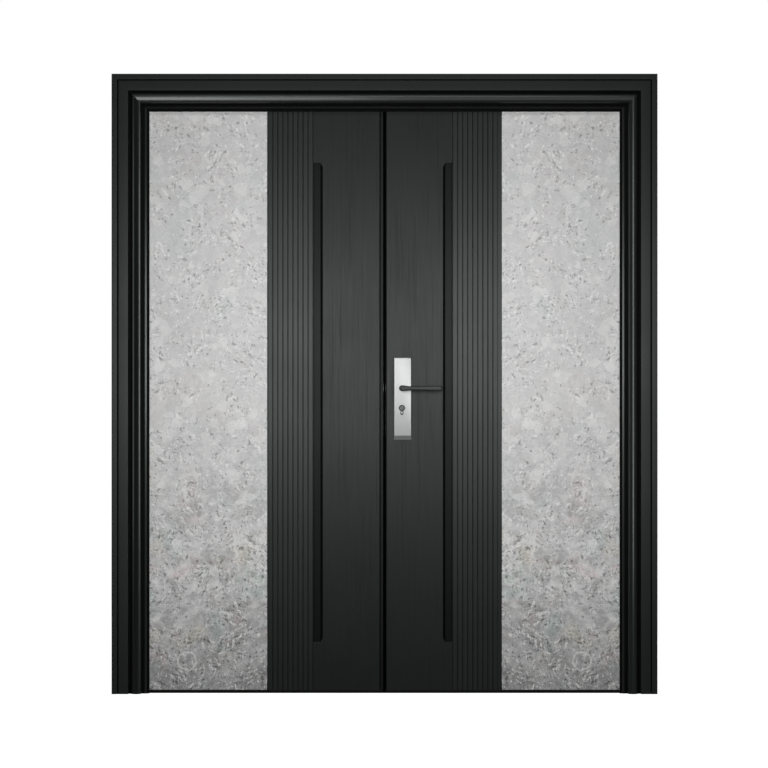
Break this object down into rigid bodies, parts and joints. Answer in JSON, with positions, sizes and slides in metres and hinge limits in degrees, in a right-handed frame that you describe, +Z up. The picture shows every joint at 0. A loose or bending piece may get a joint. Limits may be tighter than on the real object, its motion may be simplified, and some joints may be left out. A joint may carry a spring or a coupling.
{
  "type": "double security door",
  "caption": "Double security door in a moulded dark steel frame, leaves clad in stone, ribs and grained panels, with long pull recesses and a lever lock",
  "frame": {"origin": "middle of the threshold's underside at floor level, half way through the closed leaves", "axes": "+Z up, +X to the right as seen from outside, the outside is the -Y side"},
  "size_m": [1.878, 0.182, 2.134],
  "materials": {
    "frame_paint": "dark charcoal satin powder coat",
    "leaf_steel": "near black satin coat",
    "grained_panel": "dark charcoal with a fine upright grain",
    "fluted_metal": "dark charcoal satin coat with a fine grain",
    "pull_metal": "dark satin coat",
    "grey_stone": "mid grey honed stone with dark pits and pale flecks",
    "black_rubber": "matt black sealing rubber",
    "lock_steel": "satin stainless steel",
    "hinge_steel": "plain satin steel",
    "black_metal": "satin black coat"
  },
  "bodies": {
    "frame": {"head_jamb": "frame_paint", "head_casing": "frame_paint", "head_stop_gasket": "black_rubber", "threshold": "frame_paint", "left_jamb": "frame_paint", "left_casing": "frame_paint", "left_stop_gasket": "black_rubber", "left_frame_hinges": "hinge_steel", "right_jamb": "frame_paint", "right_casing": "frame_paint", "right_stop_gasket": "black_rubber", "right_frame_hinges": "hinge_steel"},
    "left_leaf": {"left_leaf_body": "leaf_steel", "left_leaf_hinges": "hinge_steel", "left_pull_channel": "pull_metal", "left_flat_panel": "grained_panel", "left_fluted_panel": "fluted_metal", "left_stone_panel": "grey_stone", "left_inner_flat_panel": "grained_panel", "left_inner_fluted_panel": "fluted_metal", "left_inner_stone_panel": "grey_stone", "left_meeting_seal": "black_rubber", "left_strike_plate": "lock_steel"},
    "right_leaf": {"right_leaf_body": "leaf_steel", "right_leaf_hinges": "hinge_steel", "right_pull_channel": "pull_metal", "right_flat_panel": "grained_panel", "right_fluted_panel": "fluted_metal", "right_stone_panel": "grey_stone", "right_inner_flat_panel": "grained_panel", "right_inner_fluted_panel": "fluted_metal", "right_inner_stone_panel": "grey_stone", "lock_edge_plate": "lock_steel", "lock_bolts": "lock_steel", "outside_lock_plate": "lock_steel", "inside_lock_plate": "lock_steel", "lock_cylinder": "black_metal"},
    "lever": {"outside_lever": "black_metal", "inside_lever": "black_metal", "spindle": "hinge_steel"}
  },
  "joints": [
    {"name": "left_leaf_swing", "type": "hinge", "parent": "frame", "child": "left_leaf", "pos_m": [-0.832, 0.045, 0], "axis": [0, 0, 1], "range_deg": [0, 110]},
    {"name": "right_leaf_swing", "type": "hinge", "parent": "frame", "child": "right_leaf", "pos_m": [0.832, 0.045, 0], "axis": [0, 0, -1], "range_deg": [0, 110]},
    {"name": "lever_turn", "type": "hinge", "parent": "right_leaf", "child": "lever", "pos_m": [0.06, 0, 1.052], "axis": [0, 1, 0], "range_deg": [0, 45], "stiffness_Nm_per_rad": 2, "springref_deg": -28.65}
  ]
}
